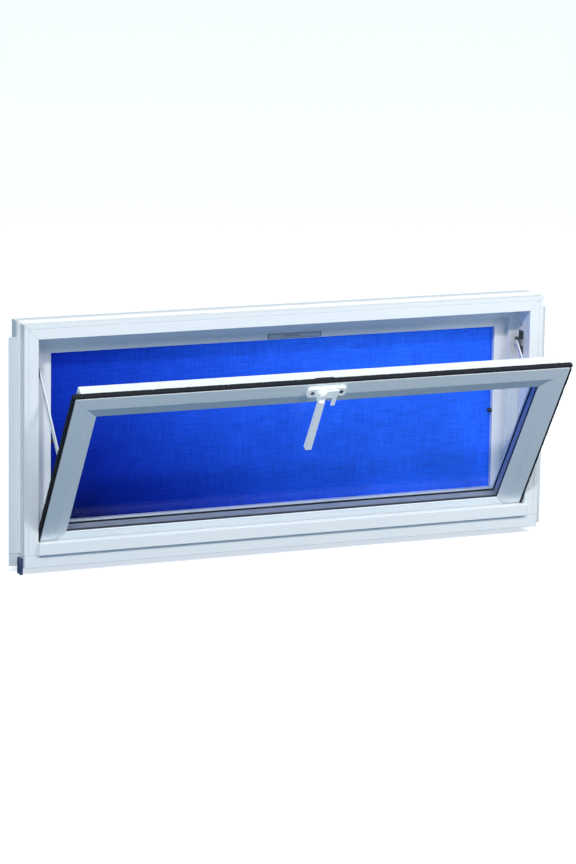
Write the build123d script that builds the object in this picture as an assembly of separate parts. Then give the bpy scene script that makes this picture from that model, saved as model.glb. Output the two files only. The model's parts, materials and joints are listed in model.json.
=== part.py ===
from build123d import *
import os
from math import atan2, cos, degrees, hypot, radians, sin

# Hopper window: a fixed vinyl frame with an insect screen at the back, and a glazed sash that
# tilts into the room on two bottom pins, held by two stay arms and locked by a cam handle.
# Millimetres. X runs along the window, +Y goes through the wall to the outside, +Z is up.
# The origin is the middle of the sill's underside. The sash is drawn open on its stays.

# ---- overall ----
WIDTH = 806.0            # frame over its side walls
HEIGHT = 349.25          # frame from sill underside to head top
TILT = 33.0              # opening angle of the sash, degrees

# ---- clearances ----
FIT = 0.05               # radial clearance of a pin or shank in its hole
SLIDE = 0.3              # clearance of sliding and turning faces
PILE_GAP = 0.5           # pile tips to the frame's reveal
SASH_STOP_GAP = 1.4      # back of the closed sash to the frame's stop

# ---- frame profile ----
FACE_W = 21.0            # width of the front face of head and jambs
FRAME_WALL = 2.2
SASH_SETBACK = 10.6      # closed sash face behind the frame's front
STOP_H = 15.0            # stop that stands inward behind the sash
STOP_T = 10.0
REBATE_H = 5.5           # screen rebate, cut back from the stop
POCKET_T = 9.0           # depth of the screen pocket
WEB_T = 1.6              # inner web of the frame profile
FACE_LINE_IN = 6.0      # decorative line on the face, from the outer edge
FACE_LINE_W = 1.2
FACE_LINE_T = 1.1

# ---- fin receiver and fins ----
LIP_OUT = 3.0
LIP_T = 1.5
RECEIVER_IN = 20.0       # first lip behind the frame's front
RECEIVER_W = 4.0         # clear width between the lips
FIN_OUT = 15.5
FIN_T = 2.0
FIN_TOP_DROP = 20.0      # fin ends below the head

# ---- sill ----
SILL_H = 18.3            # front flange of the sill
CHANNEL_FLOOR = 9.5
CHANNEL_FRONT = 2.5
SILL_STEP = 3.0          # rear upstand behind the jambs' stop face
RISER_H = 18.0
RISER_T = 10.0
RISER_PROUD = 5.0
CAP_T = 1.5              # end caps of the sill
LIP_SEAL_H = 2.2
LIP_SEAL_TIP = 0.8       # thickness of the lip at its tip
LIP_SEAL_GAP = 0.4       # lip seal to the closed sash
RISER_WALL = 1.6
RISER_ROUND = 1.2
LIP_SEAL_DROP = 6.0      # lip seal below the riser's top
CLIP_T = 4.5
CLIP_W = 13.0
CLIP_BELOW = 10.0
CLIP_ABOVE = 14.0
CLIP_IN = 6.0            # clip behind the frame's front

# ---- glazing stack, from the room to the outside ----
BEAD_T = 6.0
GASKET_T = 1.0
PANE_T = 3.0
GLASS_CAVITY = 9.0
TAPE_T = 1.0
LEG_T = 3.0

# ---- sash profile ----
FLANGE_T = 3.0
FLANGE_W = 10.5          # flange beyond the body at sides and bottom
FACE_FLAT = 20.2
BEAD_W = 17.8
BEAD_SLOPE = 4.0         # fall of the bead's face towards the glass
SASH_WALL = 2.0
GLASS_BITE = 10.3        # glass edge behind the bead's sight line
BLOCK_H = 2.0
BLOCK_L = 60.0
SPACER_W = 7.0
SIGHT_CLEAR = 0.3        # spacer set back from the sight line
SASH_DROP = 17.8         # sash bottom edge below the pivot
PIVOT_IN = 14.0          # pivot behind the sash face
PILE_OUT = 4.8           # pile beyond the flange edge
PILE_IN = 3.7
PILE_T = 5.5
NOTCH_W = 29.0
NOTCH_T = 5.0
NOTCH_H = 4.0

# ---- pivots ----
PIN_R = 4.0
PIN_FLANGE_R = 6.0
PIN_FLANGE_T = 2.0
PIN_REACH = 3.5          # pin end beyond the reveal, inside the jamb
BUSH_WALL = 2.0
BUSH_FLANGE = 1.5        # inner flange of the bush, behind the jamb's wall
BUSH_L = 5.0
PIN_SOCKET = 4.0         # pin's depth inside the stile

# ---- stays ----
STAY_DROP = 51.25        # stay's frame point below the head's reveal
STUD_OPEN = 160.0        # stud above the pivot along the open sash
ARM_W = 8.0
ARM_T = 2.0
TRACK_W = 10.4
TRACK_DEPTH = 4.8
TRACK_WALL = 1.0
TRACK_SLOT = 5.6
ARM_TO_TRACK = 0.8
SHOE_L = 18.0
STUD_R = 2.2
STUD_HEAD_R = 3.3
STUD_HEAD_T = 1.0
TRACK_END = 6.0          # closed ends of the track
BRACKET_T = 1.5
BRACKET_W = 13.5
BRACKET_H = 34.0
BRACKET_TAB_H = 14.0
BRACKET_SLOT = 9.0
SMALL_SCREW_R = 1.5
SMALL_HEAD_R = 3.0
SMALL_HEAD_T = 1.5
SMALL_SCREW_L = 9.0
HEAD_ROUND = 0.45        # shares of the head: edge rounding, cross recess
RECESS_L = 1.3
RECESS_W = 0.28
RECESS_T = 0.8

# ---- handle ----
HUB_X = -12.6
HUB_BELOW = 12.6         # hub centre below the sash's top edge
BASE_L = 58.0
BASE_H = 16.5
BASE_T = 4.7
BASE_SHIFT = 9.1         # base centre beside the hub
BASE_SCREW_IN = 7.0      # base screws from the ends of the base
HOOK_T = 2.1
HOOK_REACH = 25.5
HOOK_UP = 5.0            # hook's plate above and below the hub's centre
HOOK_DOWN = 9.0
HOOK_TAB_W = 6.0
HOOK_TAB_L = 24.0
HUB_R = 7.0
HUB_W = 11.5             # square block over the hub
HUB_UP = 6.0
HUB_DOWN = 9.5
HUB_T = 4.9
LEVER_L = 99.0
LEVER_W = 9.0
LEVER_STEM_W = 7.6
LEVER_T = 8.0
LEVER_STAND = 0.8        # lever bar in front of the hook's plate
LEVER_LEAN = 2.6         # the bar's tip stands this much further from the sash
LEVER_ROUND = 0.6
PIVOT_SCREW_R = 2.5
PIVOT_HEAD_R = 4.5
PIVOT_HEAD_T = 1.4
SCREW_DEEP = 8.0
SINK_T = 2.0             # countersunk heads
SINK_FREE = 0.3          # countersunk head in its seat

# ---- keeper ----
KEEPER_T = 1.0
KEEPER_BELOW = 0.5       # keeper ears below the head's reveal
EAR_T = 1.0
KEEPER_EAR = 9.0
KEEPER_SLOT_T = 8.0      # slot through the head's reveal, behind its front wall
KEEPER_SIDE = 2.0        # free space beside the sweeping hook

# ---- insect screen ----
SCREEN_SIDE_W = 24.5
SCREEN_TOP_W = 19.85
SCREEN_BOTTOM_W = 23.0
SCREEN_GAP = 0.5         # screen bars to the rebate
SCREEN_FACE_GAP = 0.3
BAR_T = 7.2
BAR_WALL = 1.2
BAR_TUBE_W = 13.5        # hollow outer part of a bar
SPLINE_IN = 6.5          # groove from the bar's inner edge
SPLINE_W = 3.0
SPLINE_T = 1.6
CLOTH_T = 0.3
KEY_IN = 15.0
KEY_OUT = 8.0
LABEL_L = 84.0
LABEL_H = 7.5
LABEL_T = 0.6
LABEL_X = 25.0

# ---- screen plungers ----
PLUNGER_Z = 171.0
PLUNGER_R = 1.5
KNOB_R = 3.2
KNOB_L = 5.5
COLLAR_R = 2.2
COLLAR_T = 1.2
COLLAR_FREE = 1.8        # collar inside the bar's outer wall
PLUNGER_NOSE = 3.5       # pin beyond the bar, in the jamb
SPRING_WIRE_R = 0.25
SPRING_TURNS = 6

# ---- installation holes ----
FIX_R = 2.5
FIX_IN = 30.0            # behind the frame's front
FIX_LOW = 62.0
FIX_HIGH = 302.0

# ---- places worked out from the sizes ----
SASH_DEPTH = BEAD_T + GASKET_T + 2 * PANE_T + GLASS_CAVITY + TAPE_T + LEG_T
STOP_IN = SASH_SETBACK + SASH_DEPTH + SASH_STOP_GAP
POCKET_IN = STOP_IN + STOP_T
DEPTH = POCKET_IN + POCKET_T
STOP_W = FACE_W + STOP_H
REBATE_W = STOP_W - REBATE_H
FRONT_Y = -DEPTH / 2
RISER_TOP = SILL_H + RISER_H
PIVOT_Y = FRONT_Y + SASH_SETBACK + PIVOT_IN
PIVOT_Z = RISER_TOP
SASH_Y = FRONT_Y + SASH_SETBACK
SASH_EDGE = FACE_W + PILE_GAP + PILE_OUT
SASH_X = WIDTH / 2 - SASH_EDGE
SASH_TOP = HEIGHT - SASH_EDGE
SASH_LOW = PIVOT_Z - SASH_DROP
SIGHT_W = FACE_FLAT + BEAD_W
PANE_W = SIGHT_W - GLASS_BITE
SEAT_W = PANE_W - BLOCK_H
PANE_IN = BEAD_T + GASKET_T
CAVITY_IN = PANE_IN + PANE_T
OUTER_PANE_IN = CAVITY_IN + GLASS_CAVITY
TAPE_IN = OUTER_PANE_IN + PANE_T
LEG_IN = TAPE_IN + TAPE_T
SILL_BACK = STOP_IN + SILL_STEP
FIN_IN = RECEIVER_IN + LIP_T + (RECEIVER_W - FIN_T) / 2
HUB_Z = SASH_TOP - HUB_BELOW
HOOK_IN = BASE_T + SLIDE
LEVER_BASE = HOOK_IN + HOOK_T
HOOK_SWEEP = hypot(HOOK_REACH, HOOK_TAB_L)
KEEPER_X0 = HUB_X - HOOK_UP - KEEPER_SIDE
KEEPER_X1 = HUB_X + HOOK_SWEEP + KEEPER_SIDE
STAY_HEIGHT = HEIGHT - FACE_W - STAY_DROP - PIVOT_Z
STUD_BACK = STUD_OPEN * sin(radians(TILT))
STUD_UP = STUD_OPEN * cos(radians(TILT))
ARM_L = hypot(STUD_BACK, STAY_HEIGHT - STUD_UP)
ARM_LEAN = degrees(atan2(STUD_BACK, STAY_HEIGHT - STUD_UP))
STUD_CLOSED = STAY_HEIGHT - ARM_L
BODY_EDGE = SASH_EDGE + FLANGE_W
TRACK_FACE = BODY_EDGE - TRACK_DEPTH
ARM_EDGE = TRACK_FACE - ARM_TO_TRACK - ARM_T
TRACK_LOW = STUD_CLOSED - SHOE_L / 2 - SLIDE
TRACK_HIGH = STUD_OPEN + SHOE_L / 2 + SLIDE
SCREEN_EDGE = REBATE_W + SCREEN_GAP
SCREEN_Y = FRONT_Y + POCKET_IN + SCREEN_FACE_GAP
SCREEN_X = WIDTH / 2 - SCREEN_EDGE
SCREEN_TOP = HEIGHT - SCREEN_EDGE
SCREEN_LOW = REBATE_W + SCREEN_GAP
PLUNGER_Y = SCREEN_Y + BAR_T / 2

parts = {}


# ---- shapes ----
def box(x0, x1, y0, y1, z0, z1):
    centre = Pos((x0 + x1) / 2, (y0 + y1) / 2, (z0 + z1) / 2)
    return centre * Box(x1 - x0, y1 - y0, z1 - z0)


def rod(axis, radius, centre, start, end):
    """Cylinder along X, Y or Z from start to end, through centre, a pair of the other two."""
    length = end - start
    middle = (start + end) / 2
    if axis == "X":
        return Pos(middle, *centre) * Rot(0, 90, 0) * Cylinder(radius, length)
    if axis == "Y":
        return Pos(centre[0], middle, centre[1]) * Rot(90, 0, 0) * Cylinder(radius, length)
    return Pos(*centre, middle) * Cylinder(radius, length)


def outline(points):
    return Polygon(*points, align=None)


def rectangle(a0, a1, b0, b1):
    return outline([(a0, b0), (a1, b0), (a1, b1), (a0, b1)])


def along_x(section, x0, x1):
    """Section in (Y, Z), extruded along X."""
    return extrude(Plane.YZ.offset(x0) * section, amount=x1 - x0, dir=(1, 0, 0))


def along_y(section, y0, y1):
    """Section in (X, Z), extruded along Y."""
    return extrude(Plane.XZ.offset(-y0) * section, amount=y1 - y0, dir=(0, 1, 0))


def along_z(section, z0, z1):
    """Section in (X, Y), extruded along Z."""
    return extrude(Plane.XY.offset(z0) * section, amount=z1 - z0, dir=(0, 0, 1))


def mirrored(shape):
    return mirror(shape, about=Plane.YZ)


def both_sides(name, shape):
    """Store a left-hand piece and its right-hand mirror image."""
    parts["left_" + name] = shape
    parts["right_" + name] = mirrored(shape)


def tilted(shape):
    """Turn a piece of the closed sash to the open position."""
    return shape.rotate(Axis((0, PIVOT_Y, PIVOT_Z), (1, 0, 0)), TILT)


def mitred_bar(section, side, x_half, z0, z1, y0, out=0.0):
    """Bar of a rectangular ring, mitred at 45 degrees.

    The section is drawn in (inward, back): inward from the ring's outer edge, back from y0."""
    half = x_half + z1 - z0 + out
    bar = along_z(section, -half, half)
    middle = (z0 + z1) / 2
    placed = {
        "top": Pos(0, y0, z1) * Rot(0, 90, 0) * bar,
        "bottom": Pos(0, y0, z0) * Rot(0, -90, 0) * bar,
        "left": Pos(-x_half, y0, middle) * bar,
        "right": mirrored(Pos(-x_half, y0, middle) * bar),
    }
    return placed[side] & mitre_block(side, x_half, z0, z1, y0, out)


def mitre_block(side, x_half, z0, z1, y0, out):
    deep = SIGHT_W + 1.0
    left, right, low, high = -x_half - out, x_half + out, z0 - out, z1 + out
    inner = deep + out
    corners = {
        "top": [(left, high), (right, high), (right - inner, high - inner),
                (left + inner, high - inner)],
        "bottom": [(left, low), (right, low), (right - inner, low + inner),
                   (left + inner, low + inner)],
        "left": [(left, low), (left, high), (left + inner, high - inner),
                 (left + inner, low + inner)],
        "right": [(right, low), (right, high), (right - inner, high - inner),
                  (right - inner, low + inner)],
    }
    return along_y(outline(corners[side]), y0 - DEPTH, y0 + 2 * DEPTH)


def pan_screw():
    """Screw along Z with its head above Z=0 and its shank below."""
    head = Pos(0, 0, SMALL_HEAD_T / 2) * Cylinder(SMALL_HEAD_R, SMALL_HEAD_T)
    head = fillet(head.edges().group_by(Axis.Z)[-1], SMALL_HEAD_T * HEAD_ROUND)
    deep = SMALL_HEAD_T * RECESS_T
    slot = Pos(0, 0, SMALL_HEAD_T) * Box(SMALL_HEAD_R * RECESS_L, SMALL_HEAD_R * RECESS_W, deep)
    cross = Pos(0, 0, SMALL_HEAD_T) * Box(SMALL_HEAD_R * RECESS_W, SMALL_HEAD_R * RECESS_L, deep)
    shank = Pos(0, 0, -SMALL_SCREW_L / 2) * Cylinder(SMALL_SCREW_R, SMALL_SCREW_L)
    return head - slot - cross + shank


def flat_screw(length):
    """Countersunk screw along Z with its flat top at Z=0."""
    head = Pos(0, 0, -SINK_T / 2) * Cone(SMALL_SCREW_R, SMALL_HEAD_R, SINK_T)
    slot = Box(SMALL_HEAD_R * RECESS_L, SMALL_HEAD_R * RECESS_W, SINK_T)
    cross = Box(SMALL_HEAD_R * RECESS_W, SMALL_HEAD_R * RECESS_L, SINK_T)
    shank = Pos(0, 0, -length / 2) * Cylinder(SMALL_SCREW_R, length)
    return head + shank - slot - cross


def flat_screw_hole(length):
    """Hole for a countersunk screw along Z, its seat reaching Z=0."""
    seat_t = SINK_T + SINK_FREE
    seat = Pos(0, 0, -seat_t / 2) * Cone(SMALL_SCREW_R + FIT, SMALL_HEAD_R + SINK_FREE, seat_t)
    return seat + Pos(0, 0, -length / 2 + 1) * Cylinder(SMALL_SCREW_R + FIT, length + 2)


# ---- frame ----
def frame_section():
    w = FRAME_WALL
    outer = outline([
        (0, 0), (FACE_W, 0), (FACE_W, STOP_IN), (STOP_W, STOP_IN), (STOP_W, POCKET_IN),
        (REBATE_W, POCKET_IN), (REBATE_W, DEPTH), (0, DEPTH)])
    lips = rectangle(-LIP_OUT, 0, RECEIVER_IN, RECEIVER_IN + LIP_T)
    second = RECEIVER_IN + LIP_T + RECEIVER_W
    lips += rectangle(-LIP_OUT, 0, second, second + LIP_T)
    web = STOP_IN / 2 - WEB_T / 2
    front_chamber = rectangle(w, FACE_W - w, w, web)
    mid_chamber = rectangle(w, FACE_W - w, web + WEB_T, STOP_IN)
    back_chamber = rectangle(w, REBATE_W - w, STOP_IN + w, DEPTH - w)
    stop_chamber = rectangle(REBATE_W - w - 1, STOP_W - w, STOP_IN + w, POCKET_IN - w)
    line = rectangle(FACE_LINE_IN, FACE_LINE_IN + FACE_LINE_W, -1, FACE_LINE_T)
    return outer + lips - front_chamber - mid_chamber - back_chamber - stop_chamber - line


def make_head():
    head = mitred_bar(frame_section(), "top", WIDTH / 2, -WIDTH, HEIGHT, FRONT_Y, LIP_OUT)
    reveal = HEIGHT - FACE_W
    slot_y = FRONT_Y + FRAME_WALL
    head -= box(KEEPER_X0, KEEPER_X1, slot_y, slot_y + KEEPER_SLOT_T, reveal - 1, reveal + 3)
    recess = reveal - KEEPER_BELOW + EAR_T
    head -= box(KEEPER_X0 - KEEPER_EAR, KEEPER_X1 + KEEPER_EAR, slot_y, slot_y + KEEPER_SLOT_T,
                reveal - 1, recess)
    for place in keeper_screw_places():
        head -= place * flat_screw_hole(SMALL_SCREW_L)
    parts["head"] = head


def keeper_screw_places():
    y = FRONT_Y + FRAME_WALL + KEEPER_SLOT_T / 2
    z = HEIGHT - FACE_W - KEEPER_BELOW
    xs = (KEEPER_X0 - KEEPER_EAR / 2, KEEPER_X1 + KEEPER_EAR / 2)
    return [Pos(x, y, z) * Rot(180, 0, 0) for x in xs]


def make_jambs():
    jamb = mitred_bar(frame_section(), "left", WIDTH / 2, -HEIGHT, HEIGHT, FRONT_Y, LIP_OUT)
    jamb -= box(-WIDTH, WIDTH, -DEPTH, DEPTH, -3 * HEIGHT, SILL_H)
    reveal = -WIDTH / 2 + FACE_W
    barrel_r = PIN_R + FIT + BUSH_WALL
    jamb -= rod("X", barrel_r + FIT, (PIVOT_Y, PIVOT_Z), reveal - BUSH_L, reveal + 1)
    flange_r = barrel_r + BUSH_FLANGE + FIT
    jamb -= rod("X", flange_r, (PIVOT_Y, PIVOT_Z), reveal - BUSH_L, reveal - FRAME_WALL)
    for y, z in bracket_screw_places():
        jamb -= rod("X", SMALL_SCREW_R + FIT, (y, z), reveal - SMALL_SCREW_L, reveal + 1)
    for z in (FIX_LOW, FIX_HIGH):
        jamb -= rod("X", FIX_R, (FRONT_Y + FIX_IN, z), -WIDTH / 2 - 1, reveal + 1)
    rebate = -WIDTH / 2 + REBATE_W
    nose = rebate - PLUNGER_NOSE - 1
    jamb -= rod("X", PLUNGER_R + FIT, (PLUNGER_Y, PLUNGER_Z), nose, rebate + 1)
    both_sides("jamb", jamb)


def make_sill():
    half = WIDTH / 2 - CAP_T
    reveal = WIDTH / 2 - FACE_W
    back = FRONT_Y + SILL_BACK
    pocket = FRONT_Y + POCKET_IN
    rear = FRONT_Y + DEPTH
    w = FRAME_WALL
    sill = box(-half, half, FRONT_Y, rear, 0, SILL_H)
    sill -= box(-reveal, reveal, FRONT_Y + CHANNEL_FRONT, back, CHANNEL_FLOOR, SILL_H + 1)
    stop_half = WIDTH / 2 - STOP_W
    rebate_half = WIDTH / 2 - REBATE_W
    sill += box(-stop_half, stop_half, back, pocket, SILL_H, STOP_W)
    sill += box(-rebate_half, rebate_half, pocket, rear, SILL_H, REBATE_W)
    sill -= box(-WIDTH, WIDTH, FRONT_Y + w, rear - w, w, CHANNEL_FLOOR - w)
    upstand = stop_half - w
    sill -= box(-upstand, upstand, back + w, rear - w, w, REBATE_W - w)
    sill -= box(-upstand, upstand, back + w, pocket - w, w, STOP_W - w)
    parts["sill"] = sill
    cap = box(-WIDTH / 2, -half, FRONT_Y, rear, 0, SILL_H)
    plug = box(-half, -half + 4, FRONT_Y + w, rear - w, w, CHANNEL_FLOOR - w)
    both_sides("sill_end_cap", cap + plug)
    clip_y = FRONT_Y + CLIP_IN
    clip = box(-WIDTH / 2 - CLIP_T, -WIDTH / 2, clip_y, clip_y + CLIP_W, -CLIP_BELOW, CLIP_ABOVE)
    clip -= box(-WIDTH / 2 - CLIP_T - 1, -WIDTH / 2 - CLIP_T / 2, clip_y + 3, clip_y + CLIP_W - 3,
                -CLIP_BELOW - 1, CLIP_ABOVE - 4)
    parts["left_end_clip"] = clip


def make_riser():
    half = WIDTH / 2 - FACE_W
    front = FRONT_Y - RISER_PROUD
    back = front + RISER_T
    tongue = FRONT_Y + CHANNEL_FRONT
    section = outline([
        (front, SILL_H), (tongue, SILL_H), (tongue, CHANNEL_FLOOR), (back, CHANNEL_FLOOR),
        (back, RISER_TOP), (front, RISER_TOP)])
    riser = along_x(section, -half, half)
    w = RISER_WALL
    inside = half - w
    riser -= box(-inside, inside, front + w, back - w, SILL_H + w, RISER_TOP - w)
    edges = riser.edges().filter_by(Axis.X).filter_by(lambda e: e.center().Y < front + 0.1)
    parts["sill_riser"] = fillet(edges, RISER_ROUND)
    top = RISER_TOP - LIP_SEAL_DROP
    tip = SASH_Y - LIP_SEAL_GAP
    tip_top = top - LIP_SEAL_H / 2 + LIP_SEAL_TIP / 2
    seal = outline([
        (back, top - LIP_SEAL_H), (back, top), (tip, tip_top), (tip, tip_top - LIP_SEAL_TIP)])
    parts["sill_lip_seal"] = along_x(seal, -half + 1, half - 1)


def make_fins():
    edge = -WIDTH / 2
    y = FRONT_Y + FIN_IN
    high = HEIGHT - FIN_TOP_DROP
    fin = box(edge - FIN_OUT, edge, y, y + FIN_T, 0, high)
    groove = FRONT_Y + RECEIVER_IN + LIP_T
    fin += box(edge - LIP_OUT, edge, groove, groove + RECEIVER_W, SILL_H, high)
    both_sides("nail_fin", fin)


def make_bushes():
    reveal = -WIDTH / 2 + FACE_W
    bore_r = PIN_R + FIT
    barrel_r = bore_r + BUSH_WALL
    bush = rod("X", barrel_r, (PIVOT_Y, PIVOT_Z), reveal - BUSH_L, reveal)
    inner = reveal - FRAME_WALL
    bush += rod("X", barrel_r + BUSH_FLANGE, (PIVOT_Y, PIVOT_Z), reveal - BUSH_L, inner)
    bush -= rod("X", bore_r, (PIVOT_Y, PIVOT_Z), reveal - BUSH_L - 1, reveal + 1)
    both_sides("pivot_bush", bush)


def bracket_box():
    y0 = SASH_Y + FLANGE_T + PILE_T + SASH_STOP_GAP
    z0 = PIVOT_Z + STAY_HEIGHT - BRACKET_H / 2
    return y0, y0 + BRACKET_W, z0, z0 + BRACKET_H


def bracket_screw_places():
    y0, y1, z0, z1 = bracket_box()
    side = SMALL_HEAD_R + 1.0
    return [((y0 + y1) / 2, z0 + side), ((y0 + y1) / 2, z1 - side)]


def make_brackets():
    y0, y1, z0, z1 = bracket_box()
    reveal = -WIDTH / 2 + FACE_W
    raised = -WIDTH / 2 + ARM_EDGE - 0.5
    middle = PIVOT_Z + STAY_HEIGHT
    low = middle - BRACKET_TAB_H / 2
    high = middle + BRACKET_TAB_H / 2
    bracket = box(reveal, reveal + BRACKET_T, y0, y1, z0, z1)
    bracket += box(reveal, raised, y0, y1, low, high)
    bracket -= box(reveal - 1, raised - BRACKET_T, y0 - 1, y1 + 1, low + BRACKET_T, high - BRACKET_T)
    slot_plane = Plane.YZ.offset(raised - 2 * BRACKET_T)
    slot = slot_plane * Pos(y0 + BRACKET_W / 2, middle) * SlotOverall(BRACKET_SLOT, 2 * STUD_R)
    bracket -= extrude(slot, amount=3 * BRACKET_T)
    screws = []
    for y, z in bracket_screw_places():
        bracket -= rod("X", SMALL_SCREW_R + FIT, (y, z), reveal - 1, reveal + 2 * BRACKET_T)
        screws.append(Pos(reveal + BRACKET_T, y, z) * Rot(0, 90, 0) * pan_screw())
    both_sides("stay_bracket", bracket)
    parts["stay_bracket_screws"] = Compound(screws + [mirrored(s) for s in screws])


def make_keeper():
    y = FRONT_Y + FRAME_WALL
    low = HEIGHT - FACE_W - KEEPER_BELOW
    keeper = box(KEEPER_X0, KEEPER_X1, y, y + KEEPER_T, low, HEIGHT - 2 * FRAME_WALL)
    left = box(KEEPER_X0 - KEEPER_EAR, KEEPER_X0, y, y + KEEPER_SLOT_T, low, low + EAR_T)
    right = box(KEEPER_X1, KEEPER_X1 + KEEPER_EAR, y, y + KEEPER_SLOT_T, low, low + EAR_T)
    keeper += left + right
    screws = []
    for place in keeper_screw_places():
        keeper -= place * flat_screw_hole(SMALL_SCREW_L)
        screws.append(place * flat_screw(SMALL_SCREW_L))
    parts["keeper"] = keeper
    parts["keeper_screws"] = Compound(screws)


# ---- insect screen ----
def screen_bar(width):
    """Section of a screen bar in (inward, back) from its outer edge."""
    tube = rectangle(BAR_WALL, BAR_TUBE_W, BAR_WALL, BAR_T - BAR_WALL)
    groove_in = width - SPLINE_IN
    groove = rectangle(groove_in - SPLINE_W, groove_in, BAR_T - SPLINE_T, BAR_T + 1)
    return rectangle(0, width, 0, BAR_T) - tube - groove


def screen_opening():
    half = SCREEN_X - SCREEN_SIDE_W
    return half, SCREEN_LOW + SCREEN_BOTTOM_W, SCREEN_TOP - SCREEN_TOP_W


def corner_keys(grow=0.0):
    """Blocks that join the side bars' tubes to the top and bottom bars."""
    half, low, high = screen_opening()
    y0 = SCREEN_Y + BAR_WALL + SLIDE - grow
    y1 = SCREEN_Y + BAR_T - BAR_WALL - SLIDE + grow
    x0 = -SCREEN_X + BAR_WALL + SLIDE - grow
    x1 = -SCREEN_X + BAR_TUBE_W - SLIDE + grow
    lower = box(x0, x1, y0, y1, low - KEY_OUT - grow, low + KEY_IN)
    upper = box(x0, x1, y0, y1, high - KEY_IN, high + KEY_OUT + grow)
    return [lower, upper, mirrored(lower), mirrored(upper)]


def make_screen():
    half, low, high = screen_opening()
    top = Rot(0, 90, 0) * along_z(screen_bar(SCREEN_TOP_W), -SCREEN_X, SCREEN_X)
    bottom = Rot(0, -90, 0) * along_z(screen_bar(SCREEN_BOTTOM_W), -SCREEN_X, SCREEN_X)
    top = Pos(0, SCREEN_Y, SCREEN_TOP) * top
    bottom = Pos(0, SCREEN_Y, SCREEN_LOW) * bottom
    for key in corner_keys(grow=SLIDE):
        top -= key
        bottom -= key
    parts["screen_top_bar"] = top
    parts["screen_bottom_bar"] = bottom
    side = Pos(-SCREEN_X, SCREEN_Y, 0) * along_z(screen_bar(SCREEN_SIDE_W), low, high)
    side -= rod("X", PLUNGER_R + FIT, (PLUNGER_Y, PLUNGER_Z), -SCREEN_X - 1, -half + 1)
    parts["screen_left_bar"] = side
    parts["screen_right_bar"] = mirrored(side)
    parts["screen_corner_keys"] = Compound(corner_keys())


def make_screen_cloth():
    half, low, high = screen_opening()
    edge = SPLINE_IN - FIT
    y = SCREEN_Y + BAR_T
    parts["screen_cloth"] = box(-half - edge, half + edge, y, y + CLOTH_T, low - edge, high + edge)
    inner = SPLINE_IN + SLIDE / 2
    outer = inner + SPLINE_W - SLIDE
    y0 = y - SPLINE_T
    spline = box(-half - outer, half + outer, y0, y + CLOTH_T, low - outer, high + outer)
    spline -= box(-half - inner, half + inner, y0 - 1, y + 1, low - inner, high + inner)
    ends = box(-WIDTH, WIDTH, y0 - 1, y + 1, -HEIGHT, low) + box(
        -WIDTH, WIDTH, y0 - 1, y + 1, high, 2 * HEIGHT)
    corner = box(-half, half, y0 - 1, y + 1, -HEIGHT, 2 * HEIGHT)
    parts["screen_spline"] = spline - (ends - corner)
    x0 = LABEL_X - LABEL_L / 2
    parts["screen_label_plate"] = box(x0, x0 + LABEL_L, SCREEN_Y - LABEL_T, SCREEN_Y,
                                      high + 1.0, high + 1.0 + LABEL_H)


def make_plungers():
    inner = -SCREEN_X + SCREEN_SIDE_W
    start = -SCREEN_X - PLUNGER_NOSE
    centre = (PLUNGER_Y, PLUNGER_Z)
    collar = -SCREEN_X + BAR_WALL + COLLAR_FREE
    plunger = rod("X", PLUNGER_R, centre, start, inner + 1.0)
    plunger += rod("X", COLLAR_R, centre, collar, collar + COLLAR_T)
    knob = rod("X", KNOB_R, centre, inner + SLIDE, inner + SLIDE + KNOB_L)
    knob = fillet(knob.edges().group_by(Axis.X)[-1], 1.2)
    both_sides("plunger", plunger + knob)
    spring_x = collar + COLLAR_T + SPRING_WIRE_R
    length = -SCREEN_X + BAR_TUBE_W - SPRING_WIRE_R - spring_x
    radius = PLUNGER_R + SPRING_WIRE_R + 0.12
    path = Helix(length / SPRING_TURNS, length, radius)
    wire = sweep(Plane(path @ 0, z_dir=path % 0) * Circle(SPRING_WIRE_R), path=path)
    both_sides("plunger_spring", Pos(spring_x, *centre) * Rot(0, 90, 0) * wire)


# ---- sash, drawn closed and then tilted ----
def sash_section(side):
    """Section of a rail or stile in (inward, back) from the sash's outer edge."""
    hidden = FLANGE_W if side != "top" else 0.0
    outer = outline([
        (0, 0), (FACE_FLAT, 0), (FACE_FLAT, BEAD_T), (SEAT_W, BEAD_T), (SEAT_W, LEG_IN),
        (SIGHT_W, LEG_IN), (SIGHT_W, SASH_DEPTH), (hidden, SASH_DEPTH), (hidden, FLANGE_T),
        (0, FLANGE_T)] if hidden else [
        (0, 0), (FACE_FLAT, 0), (FACE_FLAT, BEAD_T), (SEAT_W, BEAD_T), (SEAT_W, LEG_IN),
        (SIGHT_W, LEG_IN), (SIGHT_W, SASH_DEPTH), (0, SASH_DEPTH),
        (0, FLANGE_T + PILE_T), (PILE_IN, FLANGE_T + PILE_T), (PILE_IN, FLANGE_T), (0, FLANGE_T)])
    w = SASH_WALL
    start = max(hidden, NOTCH_H) + w
    main = rectangle(start, SEAT_W - w, FLANGE_T + PILE_T + w, SASH_DEPTH - w)
    front = rectangle(FLANGE_W + w, FACE_FLAT - w, w, FLANGE_T + PILE_T)
    return outer - main - front


def sash_bar(section, side):
    return mitred_bar(section, side, SASH_X, SASH_LOW, SASH_TOP, SASH_Y)


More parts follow.
